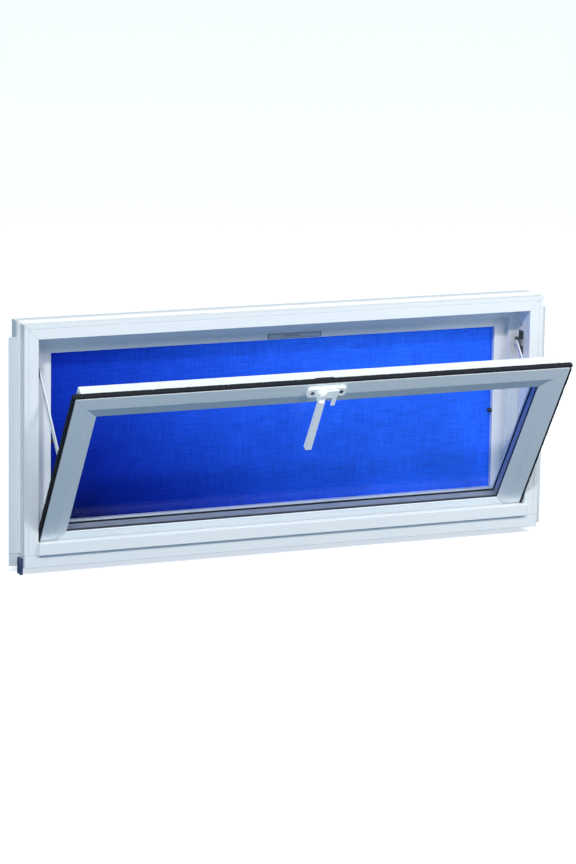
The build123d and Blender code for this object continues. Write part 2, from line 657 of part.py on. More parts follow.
def make_rails():
    top = sash_bar(sash_section("top"), "top")
    body_half = SASH_X - FLANGE_W
    back = SASH_Y + FLANGE_T
    for side in (-1, 1):
        x0, x1 = sorted((side * body_half, side * WIDTH))
        top -= box(x0, x1, back, back + SASH_DEPTH, SASH_TOP - SIGHT_W - 1, SASH_TOP + 1)
    notch_y = SASH_Y + FLANGE_T + PILE_T
    notch = HUB_X + BASE_SHIFT
    top -= box(notch - NOTCH_W / 2, notch + NOTCH_W / 2, notch_y, notch_y + NOTCH_T,
               SASH_TOP - NOTCH_H, SASH_TOP + 1)
    top -= rod("Y", PIVOT_SCREW_R + FIT, (HUB_X, HUB_Z), SASH_Y - 1, SASH_Y + SCREW_DEEP)
    for x in base_screw_places():
        top -= rod("Y", SMALL_SCREW_R + FIT, (x, HUB_Z), SASH_Y - 1, SASH_Y + SCREW_DEEP)
    parts["sash_top_rail"] = tilted(top)
    parts["sash_bottom_rail"] = tilted(sash_bar(sash_section("bottom"), "bottom"))


def make_stiles():
    stile = sash_bar(sash_section("left"), "left")
    body = -SASH_X + FLANGE_W
    stile -= rod("X", PIN_R + FIT, (PIVOT_Y, PIVOT_Z), body - 1, body + PIN_SOCKET)
    both_sides("stile", tilted(stile))


def make_beads():
    section = outline([
        (FACE_FLAT, 0), (SIGHT_W, BEAD_SLOPE), (SIGHT_W, BEAD_T), (FACE_FLAT, BEAD_T)])
    for side in ("top", "bottom", "left", "right"):
        parts[side + "_glazing_bead"] = tilted(sash_bar(section, side))


def glass_ring(outer_w, inner_w, y0, y1):
    """Four butted strips between two distances from the sash's outer edge."""
    x0, x1 = SASH_X - inner_w, SASH_X - outer_w
    low0, low1 = SASH_LOW + outer_w, SASH_LOW + inner_w
    high0, high1 = SASH_TOP - inner_w, SASH_TOP - outer_w
    return Compound([
        box(-x1, x1, y0, y1, low0, low1), box(-x1, x1, y0, y1, high0, high1),
        box(-x1, -x0, y0, y1, low1, high0), box(x0, x1, y0, y1, low1, high0)])


def make_glass():
    x = SASH_X - PANE_W
    low, high = SASH_LOW + PANE_W, SASH_TOP - PANE_W
    for name, back in (("inner_pane", PANE_IN), ("outer_pane", OUTER_PANE_IN)):
        parts[name] = tilted(box(-x, x, SASH_Y + back, SASH_Y + back + PANE_T, low, high))
    inner = SIGHT_W - SIGHT_CLEAR
    spacer = glass_ring(inner - SPACER_W, inner, SASH_Y + CAVITY_IN, SASH_Y + OUTER_PANE_IN)
    parts["glass_spacer"] = tilted(spacer)
    gasket = glass_ring(inner - SPACER_W, inner, SASH_Y + BEAD_T, SASH_Y + PANE_IN)
    parts["bead_gasket"] = tilted(gasket)
    tape = glass_ring(inner - SPACER_W, inner, SASH_Y + TAPE_IN, SASH_Y + LEG_IN)
    parts["glazing_tape"] = tilted(tape)
    seat = SASH_LOW + SEAT_W
    blocks = [box(x0 - BLOCK_L / 2, x0 + BLOCK_L / 2, SASH_Y + PANE_IN, SASH_Y + TAPE_IN, seat, low)
              for x0 in (-x / 2, x / 2)]
    parts["setting_blocks"] = tilted(Compound(blocks))


def make_pile():
    y0 = SASH_Y + FLANGE_T
    y1 = y0 + PILE_T
    out = SASH_X + PILE_OUT
    top = box(-out, out, y0, y1, SASH_TOP - PILE_IN, SASH_TOP + PILE_OUT)
    side = box(-out, -SASH_X + PILE_IN, y0, y1, SASH_LOW, SASH_TOP - PILE_IN)
    parts["sash_pile"] = tilted(Compound([top, side, mirrored(side)]))


def make_pivot_pins():
    reveal = -WIDTH / 2 + FACE_W
    body = -SASH_X + FLANGE_W
    pin = rod("X", PIN_R, (PIVOT_Y, PIVOT_Z), reveal - PIN_REACH, body + PIN_SOCKET)
    pin += rod("X", PIN_FLANGE_R, (PIVOT_Y, PIVOT_Z), body - PIN_FLANGE_T, body)
    both_sides("pivot_pin", tilted(pin))


# ---- stays ----
def make_tracks():
    face = -WIDTH / 2 + TRACK_FACE
    body = -WIDTH / 2 + BODY_EDGE
    half = TRACK_W / 2
    low, high = PIVOT_Z + TRACK_LOW, PIVOT_Z + TRACK_HIGH
    track = box(face, body, PIVOT_Y - half, PIVOT_Y + half, low - TRACK_END, high + TRACK_END)
    inner = half - TRACK_WALL - 0.2
    track -= box(face + TRACK_WALL, body - TRACK_WALL, PIVOT_Y - inner, PIVOT_Y + inner, low, high)
    slot = TRACK_SLOT / 2
    track -= box(face - 1, face + 2 * TRACK_WALL, PIVOT_Y - slot, PIVOT_Y + slot, low, high)
    both_sides("stay_track", tilted(track))


def make_shoes():
    face = -WIDTH / 2 + TRACK_FACE
    body = -WIDTH / 2 + BODY_EDGE
    half = TRACK_W / 2 - TRACK_WALL - 0.2 - SLIDE
    z = PIVOT_Z + STUD_OPEN
    shoe = box(face + TRACK_WALL + SLIDE, body - TRACK_WALL - SLIDE, PIVOT_Y - half, PIVOT_Y + half,
               z - SHOE_L / 2, z + SHOE_L / 2)
    tip = -WIDTH / 2 + ARM_EDGE - 0.2
    shoe += rod("X", STUD_R, (PIVOT_Y, z), tip - STUD_HEAD_T, face + TRACK_WALL + SLIDE + 1)
    shoe += rod("X", STUD_HEAD_R, (PIVOT_Y, z), tip - STUD_HEAD_T, tip)
    both_sides("stay_shoe", tilted(shoe))


def make_arms():
    x = -WIDTH / 2 + ARM_EDGE
    plate = Plane.YZ.offset(x) * Pos(0, ARM_L / 2) * SlotCenterToCenter(ARM_L, ARM_W, rotation=90)
    arm = extrude(plate, amount=ARM_T)
    arm -= rod("X", STUD_R + FIT, (0, 0), x - 1, x + ARM_T + 1)
    arm -= rod("X", STUD_R, (0, ARM_L), x - 1, x + ARM_T + 1)
    stud = (0, PIVOT_Y - STUD_BACK, PIVOT_Z + STUD_UP)
    both_sides("stay_arm", Pos(*stud) * Rot(-ARM_LEAN, 0, 0) * arm)


# ---- handle ----
def base_screw_places():
    middle = HUB_X + BASE_SHIFT
    reach = BASE_L / 2 - BASE_SCREW_IN
    return [middle - reach, middle + reach]


def handle_plate(shape, front, thick):
    """Plate on the sash face, drawn in (X, Z) about the hub, front of the face by front."""
    face = SASH_Y - front
    return Pos(HUB_X, 0, HUB_Z) * along_y(shape, face - thick, face)


def make_handle_base():
    plate = Pos(BASE_SHIFT, 0) * RectangleRounded(BASE_L, BASE_H, 4.0)
    base = handle_plate(plate, 0.0, BASE_T)
    front_edges = base.edges().group_by(Axis.Y)[0]
    base = fillet(front_edges, 1.0)
    base -= rod("Y", PIVOT_SCREW_R + FIT, (HUB_X, HUB_Z), SASH_Y - 2 * BASE_T, SASH_Y + 1)
    screws = []
    for x in base_screw_places():
        place = Pos(x, SASH_Y - BASE_T, HUB_Z) * Rot(90, 0, 0)
        base -= place * flat_screw_hole(BASE_T + 1)
        screws.append(place * flat_screw(BASE_T + SCREW_DEEP - 1))
    parts["handle_base"] = tilted(base)
    parts["handle_base_screws"] = tilted(Compound(screws))
    top = LEVER_BASE + HUB_T + SLIDE
    head = rod("Y", PIVOT_HEAD_R, (HUB_X, HUB_Z), SASH_Y - top - PIVOT_HEAD_T, SASH_Y - top)
    head = fillet(head.edges().group_by(Axis.Y)[0], 0.6)
    shank = rod("Y", PIVOT_SCREW_R, (HUB_X, HUB_Z), SASH_Y - top - 0.5, SASH_Y + SCREW_DEEP - 1)
    parts["handle_pivot_screw"] = tilted(head + shank)


def make_hook():
    shape = rectangle(0, HOOK_REACH, -HOOK_DOWN, HOOK_UP)
    shape += rectangle(HOOK_REACH - HOOK_TAB_W, HOOK_REACH, -HOOK_TAB_L, 0)
    shape += Circle(HUB_R)
    shape -= Circle(PIVOT_SCREW_R + FIT)
    parts["handle_hook"] = tilted(handle_plate(shape, HOOK_IN, HOOK_T))


def lever_side():
    """Side of the lever's bar in (Y, Z) of the closed sash, leaning away from it at the tip."""
    back = SASH_Y - LEVER_BASE - LEVER_STAND
    root, tip = HUB_Z - HUB_DOWN + 1, HUB_Z - LEVER_L
    return outline([
        (back, root), (back - LEVER_T, root), (back - LEVER_T - LEVER_LEAN, tip),
        (back - LEVER_LEAN, tip)])


def make_lever():
    stem, blade = LEVER_STEM_W / 2, LEVER_W / 2
    front = outline([(-stem, 0), (-blade, -LEVER_L), (blade, -LEVER_L), (stem, 0)])
    lever = handle_plate(front, LEVER_BASE, LEVER_T + LEVER_LEAN + 1)
    lever &= along_x(lever_side(), HUB_X - LEVER_W, HUB_X + LEVER_W)
    lever = fillet(lever.edges().group_by(Axis.Z)[0], LEVER_ROUND)
    block = rectangle(-HUB_W / 2, HUB_W / 2, -HUB_DOWN, HUB_UP)
    lever += handle_plate(block, LEVER_BASE, HUB_T)
    lever -= rod("Y", PIVOT_SCREW_R + FIT, (HUB_X, HUB_Z), SASH_Y - 6 * LEVER_T, SASH_Y)
    parts["handle_lever"] = tilted(lever)


def build():
    make_head()
    make_jambs()
    make_sill()
    make_riser()
    make_fins()
    make_bushes()
    make_brackets()
    make_keeper()
    make_screen()
    make_screen_cloth()
    make_plungers()
    make_rails()
    make_stiles()
    make_beads()
    make_glass()
    make_pile()
    make_pivot_pins()
    make_tracks()
    make_shoes()
    make_arms()
    make_handle_base()
    make_hook()
    make_lever()
    os.makedirs("parts", exist_ok=True)
    for name, shape in parts.items():
        export_step(shape, os.path.join("parts", name + ".step"))


build()
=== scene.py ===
import json
import math

import bpy
from mathutils import Matrix, Vector, noise


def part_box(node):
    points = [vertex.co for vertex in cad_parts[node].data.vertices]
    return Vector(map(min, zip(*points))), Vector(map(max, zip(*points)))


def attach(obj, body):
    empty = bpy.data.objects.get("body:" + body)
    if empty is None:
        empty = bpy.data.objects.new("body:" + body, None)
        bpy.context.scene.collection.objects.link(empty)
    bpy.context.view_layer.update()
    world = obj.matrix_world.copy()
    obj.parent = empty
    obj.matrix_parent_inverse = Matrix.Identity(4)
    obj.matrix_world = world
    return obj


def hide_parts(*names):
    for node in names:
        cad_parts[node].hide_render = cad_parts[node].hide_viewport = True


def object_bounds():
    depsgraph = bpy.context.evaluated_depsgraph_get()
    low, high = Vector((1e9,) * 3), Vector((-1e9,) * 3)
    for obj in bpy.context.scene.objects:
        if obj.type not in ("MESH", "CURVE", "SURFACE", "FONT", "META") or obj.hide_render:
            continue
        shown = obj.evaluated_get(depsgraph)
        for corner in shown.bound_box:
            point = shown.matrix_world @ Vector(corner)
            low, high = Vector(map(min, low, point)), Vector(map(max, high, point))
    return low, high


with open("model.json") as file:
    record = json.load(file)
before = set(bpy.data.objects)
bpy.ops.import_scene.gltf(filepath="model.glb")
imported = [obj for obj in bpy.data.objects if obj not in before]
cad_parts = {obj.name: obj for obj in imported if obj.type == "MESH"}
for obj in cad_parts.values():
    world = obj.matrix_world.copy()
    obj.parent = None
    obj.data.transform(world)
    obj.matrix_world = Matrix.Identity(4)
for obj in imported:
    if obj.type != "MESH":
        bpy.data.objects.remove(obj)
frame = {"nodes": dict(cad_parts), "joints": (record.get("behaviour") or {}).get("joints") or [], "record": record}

CAD_BOX = [list(corner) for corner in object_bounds()]
NODES = frame["nodes"]
MM = 0.001

# ---- the open sash's own axes, from its tilt joint ----
TILT_JOINT = [joint for joint in frame["joints"] if joint["name"] == "sash_tilt"][0]
TILT = math.radians(-TILT_JOINT["range_deg"][0])
PIVOT = Vector(TILT_JOINT["pos_m"])
ALONG = Vector((0, -math.sin(TILT), math.cos(TILT)))
FACING = Vector((0, -math.cos(TILT), -math.sin(TILT)))


def on_sash(x, up, out):
    """Point of the open sash: up along it from the pivots, out of it into the room."""
    return Vector((x, 0, 0)) + PIVOT + ALONG * up + FACING * out


def ups_of(node):
    """How far each corner of a node is up along the sash from the pivots."""
    return [(Vector(v.co) - PIVOT).dot(ALONG) for v in NODES[node].data.vertices]


def outs_of(node):
    """How far each corner of a node is out of the sash into the room."""
    return [(Vector(v.co) - PIVOT).dot(FACING) for v in NODES[node].data.vertices]


# ---- shader wiring ----
class Wire:
    """One output of a node; arithmetic on it adds Math nodes."""

    def __init__(self, tree, socket):
        self.tree = tree
        self.socket = socket

    def math(self, operation, first, second=None):
        node = self.tree.nodes.new("ShaderNodeMath")
        node.operation = operation
        for place, value in enumerate((first, second)):
            if isinstance(value, Wire):
                self.tree.links.new(value.socket, node.inputs[place])
            elif value is not None:
                node.inputs[place].default_value = value
        return Wire(self.tree, node.outputs[0])

    def __add__(self, other):
        return self.math("ADD", self, other)

    __radd__ = __add__

    def __sub__(self, other):
        return self.math("SUBTRACT", self, other)

    def __rsub__(self, other):
        return self.math("SUBTRACT", other, self)

    def __mul__(self, other):
        return self.math("MULTIPLY", self, other)

    __rmul__ = __mul__

    def __pow__(self, other):
        return self.math("POWER", self, other)

    def sine(self):
        return self.math("SINE", self)

    def size(self):
        return self.math("ABSOLUTE", self)

    def least(self, other):
        return self.math("MINIMUM", self, other)

    def most(self, other):
        return self.math("MAXIMUM", self, other)

    def above(self, level):
        return self.math("GREATER_THAN", self, level)

    def out(self, name):
        return Wire(self.tree, self.socket.node.outputs[name])


class Finish:
    """A material, or the room's light, while it is wired."""

    def __init__(self, name, tree=None):
        if tree is None:
            self.material = bpy.data.materials.new(name)
            self.material.use_nodes = True
            tree = self.material.node_tree
        self.tree = tree
        tree.nodes.clear()

    def node(self, kind, settings=None, sockets=None, output=0):
        """Add a node; settings are its own, sockets are values or wires, by name or place."""
        node = self.tree.nodes.new(kind)
        for key, value in (settings or {}).items():
            if key == "stops":
                self.ramp(node.color_ramp, value)
            else:
                setattr(node, key, value)
        for key, value in (sockets or {}).items():
            if isinstance(value, Wire):
                self.tree.links.new(value.socket, node.inputs[key])
            else:
                node.inputs[key].default_value = value
        return Wire(self.tree, node.outputs[output]) if node.outputs else None

    def ramp(self, ramp, stops):
        while len(ramp.elements) < len(stops):
            ramp.elements.new(0.5)
        for element, (place, colour) in zip(ramp.elements, stops):
            element.position = place
            element.color = (*colour, 1.0)

    def place(self):
        return self.node("ShaderNodeTexCoord").out("Object")

    def split(self, vector):
        parts = self.node("ShaderNodeSeparateXYZ", sockets={0: vector})
        return [parts.out(axis) for axis in "XYZ"]

    def stretched(self, vector, scale):
        return self.node("ShaderNodeMapping", sockets={0: vector, "Scale": scale})

    def grain(self, vector, scale, detail=2.0, rough=0.5):
        return self.node("ShaderNodeTexNoise", sockets={
            "Vector": vector, "Scale": scale, "Detail": detail, "Roughness": rough})

    def tint(self, share, first, second):
        """Colour between two colours."""
        return self.node("ShaderNodeMix", {"data_type": "RGBA"}, {
            0: share, 6: self.colour(first), 7: self.colour(second)}, output=2)

    def colour(self, value):
        return value if isinstance(value, Wire) else (*value, 1.0)

    def bump(self, height, distance, strength=1.0):
        return self.node("ShaderNodeBump", sockets={
            "Height": height, "Distance": distance, "Strength": strength})

    def surface(self, shader, name="Surface"):
        self.node("ShaderNodeOutputMaterial", sockets={name: shader})
        return self.material

    def principled(self, **sockets):
        named = {key.replace("_", " "): value for key, value in sockets.items()}
        if isinstance(named.get("Base Color"), tuple):
            named["Base Color"] = (*named["Base Color"], 1.0)
        return self.node("ShaderNodeBsdfPrincipled", sockets=named)


# ---- joint lines of the welded and butted vinyl ----
JOINT_W = 0.45 * MM


def line_where(distance, width=JOINT_W):
    """One on a thin line where the distance is nothing, falling off to both sides."""
    return 1 - (distance.size() * (1 / width)).least(1.0)


def frame_joints(f, place):
    """Mitres of the head to the jambs, and the butt of each jamb on the sill's flange."""
    low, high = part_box("left_jamb")
    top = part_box("head")[1].z
    half, face = -low.x, high.x - low.x
    x, _, z = f.split(place)
    inward = half - x.size()
    on_face = 1 - inward.above(face)
    mitre = line_where(inward - (top - z))
    butt = line_where(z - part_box("left_sill_end_cap")[1].z)
    return mitre.most(butt) * on_face


def sash_joints(f, place):
    """Mitres at the sash's four corners."""
    ups = ups_of("left_stile")
    low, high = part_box("left_stile")
    x, y, z = f.split(place)
    up = (y - PIVOT.y) * ALONG.y + (z - PIVOT.z) * ALONG.z
    inward = -low.x - x.size()
    on_rails = 1 - inward.above(high.x - low.x)
    mitres = line_where(inward - (max(ups) - up)).most(line_where(inward - (up - min(ups))))
    return mitres * on_rails


# ---- finishes ----
def vinyl(name, light, shade, gloss, joints):
    """Extruded white vinyl: faint drawn streaks, soft mottle, light handling haze."""
    f = Finish(name)
    place = f.place()
    joint = joints(f, place)
    mottle = f.grain(place, 9.0, 3.0)
    streaks = f.grain(f.stretched(place, (3.0, 900.0, 900.0)), 1.0, 1.0)
    share = mottle * 0.7 + streaks * 0.3
    haze = f.grain(place, 46.0, 4.0, 0.6)
    fine = f.grain(place, 2600.0, 2.0)
    return f.surface(f.principled(
        Base_Color=f.tint(joint * 0.6, f.tint(share, light, shade), (0.16, 0.20, 0.27)),
        Roughness=gloss + haze * 0.16,
        Normal=f.bump(fine * 0.25 + streaks * 0.35 - joint, 0.00006),
        Specular_IOR_Level=0.42))


def powder_coat(name, light, shade, painted_glow=0.0):
    """Sprayed white coat with a fine orange-peel surface, and an optional painted cool-white glow of the given
    strength, though it is no lamp.
    """
    f = Finish(name)
    place = f.place()
    peel = f.grain(place, 900.0, 2.0)
    cloud = f.grain(place, 60.0, 3.0)
    return f.surface(f.principled(
        Base_Color=f.tint(cloud, light, shade),
        Roughness=0.28 + cloud * 0.18,
        # Emission here is a painted glow that brightens the piece.
        Emission_Color=(0.86, 0.95, 1.0, 1.0), Emission_Strength=painted_glow,
        Normal=f.bump(peel, 0.00012)))


def metal(name, light, dark, drawn, rough):
    """Plated metal, brushed along one direction."""
    f = Finish(name)
    place = f.place()
    brush = f.grain(f.stretched(place, drawn), 1.0, 3.0, 0.6)
    stain = f.grain(place, 120.0, 3.0)
    return f.surface(f.principled(
        Base_Color=f.tint(stain * 0.6 + brush * 0.4, light, dark),
        Metallic=0.9,
        Roughness=rough + brush * 0.22,
        Normal=f.bump(brush, 0.00004)))


def moulded(name, light, shade, rough):
    """Plain moulded plastic or rubber with a fine skin."""
    f = Finish(name)
    place = f.place()
    skin = f.grain(place, 700.0, 3.0)
    cloud = f.grain(place, 80.0, 3.0)
    return f.surface(f.principled(
        Base_Color=f.tint(cloud, light, shade),
        Roughness=rough + skin * 0.15,
        Normal=f.bump(skin, 0.00008)))


WEAVE = 1.6 * MM


def insect_cloth():
    """Blue fibre cloth: crossing threads, slubs along both directions, faint cloudiness; painted shade towards its
    left and bottom, and a painted blue glow, though it is no lamp.
    """
    f = Finish("blue_screen_cloth")
    place = f.place()
    x, _, z = f.split(place)
    turn = 2 * math.pi / WEAVE
    warp = (x * turn).sine()
    weft = (z * turn).sine()
    over = (x * (turn / 2)).sine() * (z * (turn / 2)).sine()
    threads = (warp * 0.5 + 0.5) * (weft * 0.5 + 0.5)
    slub_x = f.grain(f.stretched(place, (26.0, 1.0, 380.0)), 1.0, 3.0, 0.7)
    slub_z = f.grain(f.stretched(place, (380.0, 1.0, 26.0)), 1.0, 3.0, 0.7)
    cloud = f.grain(place, 11.0, 4.0, 0.55)
    depth = slub_x * 0.42 + slub_z * 0.36 + cloud * 0.22 + over.size() * 0.05
    body = (depth - 0.36) * 3.4
    low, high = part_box("screen_cloth")
    wide, tall = high.x - low.x, high.z - low.z
    along = (x - low.x) * (1 / wide)
    rise = (z - low.z) * (1 / tall)
    # Painted shade: darker towards the left and the bottom of the cloth, most at its lower-left corner.
    corner = (1 - along) ** 1.5 * (1 - rise) ** 2.0
    painted_shade = (1 - along) ** 2.0 * 0.70 + (1 - rise) ** 2.6 * 0.16 + corner * 0.34
    # Painted glow: the cloth gives off its own blue light, strongest right of middle and weaker where the painted
    # shade lies.
    painted_glow_share = (1.02 - painted_shade) * (0.92 - along ** 5.0 * rise * 0.55)
    blue = f.tint(body, (0.006, 0.045, 0.55), (0.018, 0.11, 0.86))
    blue = f.tint(threads * 0.22, blue, (0.002, 0.018, 0.36))
    # The painted shade darkens the base colour.
    blue = f.tint(painted_shade * 1.05, blue, (0.001, 0.006, 0.16))
    # Colour of the painted glow, a deeper blue where the painted shade lies.
    through = f.tint(painted_shade * 1.35, (0.022, 0.145, 0.76), (0.0, 0.010, 0.60))
    painted_glow_colour = f.tint(painted_glow_share * (body * 0.55 + 0.45), (0.0, 0.0, 0.0), through)
    return f.surface(f.principled(
        Base_Color=blue,
        Emission_Color=painted_glow_colour,
        Emission_Strength=0.9,
        Roughness=0.62 + slub_x * 0.2,
        Normal=f.bump(over.size() * 0.5 - threads * 0.5 + slub_x * 0.3, 0.0002),
        Specular_IOR_Level=0.04))


def clear_glass():
    """Float glass: see-through, with a mirror skin that grows towards grazing."""
    f = Finish("clear_glass")
    ripple = f.grain(f.place(), 7.0, 1.0)
    skin = f.bump(ripple, 0.0002)
    clear = f.node("ShaderNodeBsdfTransparent", sockets={"Color": (0.985, 0.992, 0.995, 1.0)})
    mirror = f.principled(
        Base_Color=(0.9, 0.95, 1.0), Metallic=1.0, Roughness=0.02 + ripple * 0.02, Normal=skin)
    facing = f.node("ShaderNodeLayerWeight", sockets={"Blend": 0.5}).out("Facing")
    share = facing ** 4 * 0.4 + 0.004
    both = f.node("ShaderNodeMixShader", sockets={0: share, 1: clear, 2: mirror})
    return f.surface(both)


def pile_fibre():
    """Black weather pile: matt fibres standing out of the strip."""
    f = Finish("black_pile")
    place = f.place()
    fibre = f.grain(f.stretched(place, (2200.0, 500.0, 500.0)), 1.0, 4.0, 0.7)
    clump = f.grain(place, 330.0, 3.0)
    return f.surface(f.principled(
        Base_Color=f.tint(fibre, (0.004, 0.005, 0.008), (0.035, 0.038, 0.046)),
        Roughness=0.85 + clump * 0.1,
        Normal=f.bump(fibre * 0.6 + clump * 0.4, 0.0006),
        Specular_IOR_Level=0.2))


def felt_pad():
    """Brown-grey felt."""
    f = Finish("brown_felt")
    place = f.place()
    fibre = f.grain(place, 1900.0, 4.0, 0.7)
    patch = f.grain(place, 160.0, 3.0)
    return f.surface(f.principled(
        Base_Color=f.tint(fibre * 0.5 + patch * 0.5, (0.16, 0.14, 0.13), (0.045, 0.04, 0.04)),
        Roughness=0.88, Normal=f.bump(fibre, 0.0004), Specular_IOR_Level=0.15))


HOLE_PITCH = 3.0 * MM


def spacer_bar():
    """Mill aluminium spacer with its rows of breathing holes."""
    f = Finish("spacer_bar")
    place = f.place()
    x, _, z = f.split(place)
    turn = 2 * math.pi / HOLE_PITCH
    holes = ((x * turn).sine() * (z * turn).sine()).above(0.72)
    brush = f.grain(f.stretched(place, (8.0, 700.0, 700.0)), 1.0, 2.0)
    grey = f.tint(brush, (0.34, 0.37, 0.41), (0.55, 0.58, 0.62))
    return f.surface(f.principled(
        Base_Color=f.tint(holes, grey, (0.05, 0.055, 0.06)),
        Metallic=0.55, Roughness=0.38 + brush * 0.2,
        Normal=f.bump(brush - holes, 0.0001)))


RIM_SIDE = 1.3 * MM
RIM_TOP = 0.9 * MM
DASH_PITCH = 3.4 * MM
DASH_HALF_H = 0.9 * MM
ROW_ASIDE = 4 * MM
ROW_HALF = 12 * MM


def label_plate():
    """Satin grey plate with a plain dark rim and a short row of plain marks, no words."""
    f = Finish("label_plate")
    place = f.place()
    x, _, z = f.split(place)
    low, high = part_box("screen_label_plate")
    middle, half = (low + high) / 2, (high - low) / 2
    aside, rise = (x - middle.x).size(), (z - middle.z).size()
    rim = aside.above(half.x - RIM_SIDE).most(rise.above(half.z - RIM_TOP))
    dashes = (x * (2 * math.pi / DASH_PITCH)).sine().above(-0.2)
    near = 1 - (x - middle.x + ROW_ASIDE).size().above(ROW_HALF)
    row = near * (1 - rise.above(DASH_HALF_H)) * dashes
    ink = (rim * 0.8 + row * 0.9) * (f.grain(place, 300.0, 2.0) * 0.5 + 0.7)
    return f.surface(f.principled(
        Base_Color=f.tint(ink, (0.50, 0.55, 0.62), (0.05, 0.06, 0.09)),
        Roughness=0.4 + ink * 0.2, Normal=f.bump(ink, 0.00008)))


FINISHES = {
    "frame_vinyl": vinyl("frame_vinyl", (0.93, 0.94, 0.945), (0.875, 0.895, 0.91), 0.33,
                         frame_joints),
    "sash_vinyl": vinyl("sash_vinyl", (0.90, 0.935, 0.96), (0.83, 0.88, 0.925), 0.30,
                        sash_joints),
    "screen_frame": powder_coat("screen_bar_coat", (0.90, 0.91, 0.92), (0.83, 0.85, 0.87)),
    # The handle's coat gets a faint painted glow that brightens it.
    "handle_metal": powder_coat("handle_coat", (0.95, 0.96, 0.97), (0.86, 0.88, 0.90), 0.16),
    "stay_metal": powder_coat("stay_coat", (0.90, 0.91, 0.92), (0.80, 0.82, 0.84)),
    "steel": metal("zinc_plate", (0.46, 0.48, 0.50), (0.22, 0.23, 0.25), (60, 60, 1500), 0.32),
    "nylon": moulded("nylon", (0.84, 0.84, 0.82), (0.74, 0.74, 0.71), 0.42),
    "seal": moulded("black_gasket", (0.012, 0.013, 0.016), (0.03, 0.032, 0.036), 0.62),
    "screen_spline": moulded("spline_rubber", (0.02, 0.02, 0.024), (0.05, 0.05, 0.06), 0.7),
    "lip_seal": moulded("lip_seal", (0.80, 0.82, 0.83), (0.70, 0.72, 0.74), 0.5),
    "plunger": moulded("black_knob", (0.010, 0.010, 0.012), (0.028, 0.028, 0.032), 0.3),
    "clip": moulded("blue_clip", (0.035, 0.06, 0.14), (0.07, 0.11, 0.20), 0.4),
    "screen_cloth": insect_cloth(),
    "glass": clear_glass(),
    "pile": pile_fibre(),
    "spacer": spacer_bar(),
    "label": label_plate(),
}
DARK_STEEL = metal("dark_stay_steel", (0.20, 0.205, 0.215), (0.06, 0.062, 0.07),
                   (60, 60, 1500), 0.36)
DARK_NODES = ("left_stay_bracket", "right_stay_bracket", "stay_bracket_screws")


def wear(obj, finish):
    obj.data.materials.clear()
    obj.data.materials.append(finish)


SAME_POINT = 0.01 * MM
ROUND_FROM_BEND = math.radians(50)


def soften(obj, width):
    """Small rounded edges, as extruded and moulded pieces have."""
    joined = obj.modifiers.new("joined_corners", "WELD")
    joined.merge_threshold = SAME_POINT
    edge = obj.modifiers.new("rounded_edges", "BEVEL")
    edge.width = width
    edge.segments = 2
    edge.limit_method = "ANGLE"
    edge.angle_limit = ROUND_FROM_BEND
    edge.harden_normals = False
    edge.use_clamp_overlap = True
    even = obj.modifiers.new("even_shading", "WEIGHTED_NORMAL")
    even.keep_sharp = True


EDGE_ROUND = {
    "frame_vinyl": 0.7, "sash_vinyl": 0.7, "screen_frame": 0.25, "handle_metal": 0.45,
    "stay_metal": 0.2, "steel": 0.12, "nylon": 0.15, "lip_seal": 0.1, "plunger": 0.15,
    "clip": 0.3, "label": 0.12,
}


def finish_cad_nodes():
    for part in frame["record"]["subparts"]:
        name, slot = part["node"], part["material_slot"]
        dark = name in DARK_NODES
        wear(NODES[name], DARK_STEEL if dark else FINISHES[slot])
        if slot in EDGE_ROUND and "screws" not in name and "spring" not in name:
            soften(NODES[name], EDGE_ROUND[slot] * MM)


# ---- new pieces ----
def mesh_piece(name, verts, faces, finish):
    mesh = bpy.data.meshes.new(name)
    mesh.from_pydata([tuple(v) for v in verts], [], faces)
    mesh.validate()
    obj = bpy.data.objects.new(name, mesh)
    bpy.context.scene.collection.objects.link(obj)
    wear(obj, finish)
    for face in mesh.polygons:
        face.use_smooth = True
    return obj


def tube_faces(rings, points):
    """Faces of a closed tube: rings of so many points, with both ends capped."""
    faces = []
    for r in range(rings - 1):
        for p in range(points):
            q = (p + 1) % points
            a, b = r * points, (r + 1) * points
            faces.append((a + p, a + q, b + q, b + p))
    faces.append(tuple(reversed(range(points))))
    faces.append(tuple(range((rings - 1) * points, rings * points)))
    return faces


PILE_STEP = 0.9 * MM
PILE_THICK = 5.5 * MM
PILE_SIDES = 12
PILE_FLARE = 2.6 * MM
PILE_HIDDEN = 3.7 * MM      # depth of the strip inside its channel
PILE_END_IN = 1.2 * MM      # top strip ends short of the side strips' tips
TUFT = 0.75 * MM
TUFT_FLARE = 0.5 * MM


def pile_strip(name, start, end, outward, width, seed):
    """A strip of pile from start to end; its tips flare forward and stand out unevenly."""
    lo, hi = Vector(start), Vector(end)
    count = int((hi - lo).length / PILE_STEP)
    verts = []
    for k in range(count + 1):
        base = lo.lerp(hi, k / count)
        swell = noise.noise(Vector((seed, k * 0.05, 0.0)))
        tuft = noise.noise(Vector((seed, k * 0.31, 3.0)))
        reach = width * (0.95 + 0.05 * swell) + tuft * TUFT
        flare = PILE_FLARE + tuft * TUFT_FLARE
        for p in range(PILE_SIDES):
            turn = 2 * math.pi * (p + 0.5) / PILE_SIDES
            side, rise = math.sin(turn), math.cos(turn)
            across = PILE_THICK / 2 * math.copysign(abs(side) ** 0.4, side)
            if rise > 0:
                out = PILE_HIDDEN + (reach - PILE_HIDDEN) * (0.12 + 0.88 * rise ** 0.35)
                across += flare if side > 0 else 0.0
            else:
                out = PILE_HIDDEN * (1 - abs(rise) ** 0.3)
            verts.append(base + outward * out + FACING * across)
    return mesh_piece(name, verts, tube_faces(count + 1, PILE_SIDES), FINISHES["pile"])


